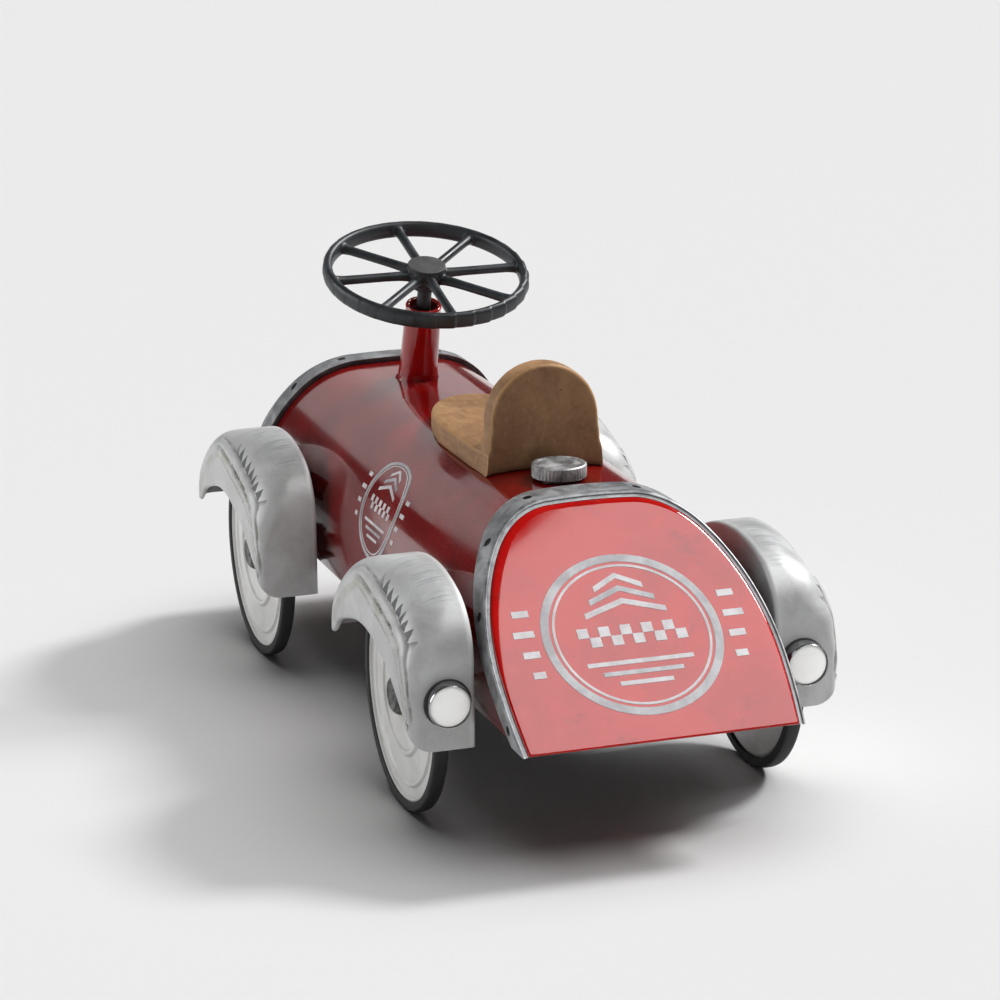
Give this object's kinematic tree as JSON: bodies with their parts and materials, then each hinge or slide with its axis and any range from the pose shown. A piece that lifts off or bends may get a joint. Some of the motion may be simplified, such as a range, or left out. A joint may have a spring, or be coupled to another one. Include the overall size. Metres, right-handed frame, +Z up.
{
  "type": "foot-to-floor ride-on car",
  "caption": "Child's sit-astride ride-on car: arched sheet body, spoked steering wheel on a raked column, fenders over disc wheels, moulded seat, rear lamps and filler cap.",
  "frame": {"origin": "on the ground, at the middle of the length and of the width", "axes": "+X forward, +Y to the left, +Z up; the wheels spin about Y"},
  "size_m": [0.763, 0.35, 0.3674],
  "materials": {
    "red_paint": "glossy, with dust and fine marks",
    "grille_grey": "satin",
    "trim_grey": "satin, worn along its edges",
    "dark_steel": "blackened",
    "steel": "bare, brushed",
    "zinc_steel": "zinc plated",
    "nylon": "matte",
    "black_steel": "satin",
    "steering_black": "semi-gloss, scuffed",
    "seat_tan": "smooth suede-like, darker on the back",
    "cap_metal": "cast, mottled",
    "lamp_chrome": "polished",
    "lens_opal": "opal white",
    "gasket_rubber": "matte",
    "fender_silver": "silver grey, scratched and chipped on the shoulder",
    "disc_white": "satin off-white",
    "tyre_black": "matte",
    "hub_metal": "dark, mottled"
  },
  "bodies": {
    "car": {"body_shell": "red_paint", "chassis_bolts": "zinc_steel", "column_bush": "nylon", "column_tube": "red_paint", "fender_bolts": "zinc_steel", "fender_front_left": "fender_silver", "fender_front_right": "fender_silver", "fender_rear_left": "fender_silver", "fender_rear_right": "fender_silver", "fender_stays": "steel", "filler_neck": "steel", "floor_pan": "steel", "front_axle_beam": "steel", "front_panel": "red_paint", "front_trim": "trim_grey", "front_trim_screws": "dark_steel", "grille": "grille_grey", "kingpins": "zinc_steel", "lamp_gaskets": "gasket_rubber", "lamp_housing_left": "lamp_chrome", "lamp_housing_right": "lamp_chrome", "lamp_lens_left": "lens_opal", "lamp_lens_right": "lens_opal", "lamp_screws": "zinc_steel", "rear_axle": "steel", "rear_axle_hangers": "steel", "rear_axle_spacers": "steel", "rear_panel": "red_paint", "rear_trim": "trim_grey", "rear_trim_screws": "dark_steel", "seat": "seat_tan", "seat_bolts": "zinc_steel", "shaft_bearing": "nylon"},
    "filler_cap": {"fuel_cap": "cap_metal"},
    "steering": {"steering_shaft": "black_steel", "steering_wheel": "steering_black", "steering_nut": "steel", "steering_wheel_cap": "steering_black"},
    "knuckle_left": {"knuckle_left": "steel"},
    "knuckle_right": {"knuckle_right": "steel"},
    "tie_rod": {"tie_rod": "steel", "tie_rod_pins": "zinc_steel"},
    "wheel_rear_left": {"wheel_disc_rear_left": "disc_white", "tyre_rear_left": "tyre_black", "wheel_bush_rear_left": "nylon", "hub_cap_rear_left": "hub_metal"},
    "wheel_rear_right": {"wheel_disc_rear_right": "disc_white", "tyre_rear_right": "tyre_black", "wheel_bush_rear_right": "nylon", "hub_cap_rear_right": "hub_metal"},
    "wheel_front_left": {"wheel_disc_front_left": "disc_white", "tyre_front_left": "tyre_black", "wheel_bush_front_left": "nylon", "hub_cap_front_left": "hub_metal"},
    "wheel_front_right": {"wheel_disc_front_right": "disc_white", "tyre_front_right": "tyre_black", "wheel_bush_front_right": "nylon", "hub_cap_front_right": "hub_metal"}
  },
  "joints": [
    {"name": "steering_turn", "type": "hinge", "parent": "car", "child": "steering", "pos_m": [0.2192, 0, 0.2375], "axis": [-0.2815, 0, 0.9596], "range_deg": [-30, 30]},
    {"name": "knuckle_left_turn", "type": "hinge", "parent": "car", "child": "knuckle_left", "pos_m": [0.2245, 0.126, 0.092], "axis": [0, 0, 1], "range_deg": [-10, 10]},
    {"name": "knuckle_right_turn", "type": "hinge", "parent": "car", "child": "knuckle_right", "pos_m": [0.2245, -0.126, 0.092], "axis": [0, 0, 1], "range_deg": [-10, 10]},
    {"name": "tie_rod_swing", "type": "hinge", "parent": "knuckle_left", "child": "tie_rod", "pos_m": [0.2605, 0.126, 0.0815], "axis": [0, 0, 1], "range_deg": [-10, 10]},
    {"name": "filler_cap_turn", "type": "hinge", "parent": "car", "child": "filler_cap", "pos_m": [-0.1481, 0, 0.245], "axis": [0, 0, 1], "range_deg": [0, 90]},
    {"name": "wheel_rear_left_spin", "type": "hinge", "parent": "car", "child": "wheel_rear_left", "pos_m": [-0.1995, 0.145, 0.092], "axis": [0, 1, 0], "continuous": true},
    {"name": "wheel_rear_right_spin", "type": "hinge", "parent": "car", "child": "wheel_rear_right", "pos_m": [-0.1995, -0.145, 0.092], "axis": [0, 1, 0], "continuous": true},
    {"name": "wheel_front_left_spin", "type": "hinge", "parent": "knuckle_left", "child": "wheel_front_left", "pos_m": [0.2245, 0.145, 0.092], "axis": [0, 1, 0], "continuous": true},
    {"name": "wheel_front_right_spin", "type": "hinge", "parent": "knuckle_right", "child": "wheel_front_right", "pos_m": [0.2245, -0.145, 0.092], "axis": [0, 1, 0], "continuous": true}
  ],
  "couplings": [
    {"joint": "knuckle_left_turn", "follows": "steering_turn", "ratio": 0.3333},
    {"joint": "knuckle_right_turn", "follows": "steering_turn", "ratio": 0.3333},
    {"joint": "tie_rod_swing", "follows": "steering_turn", "ratio": -0.3333}
  ]
}
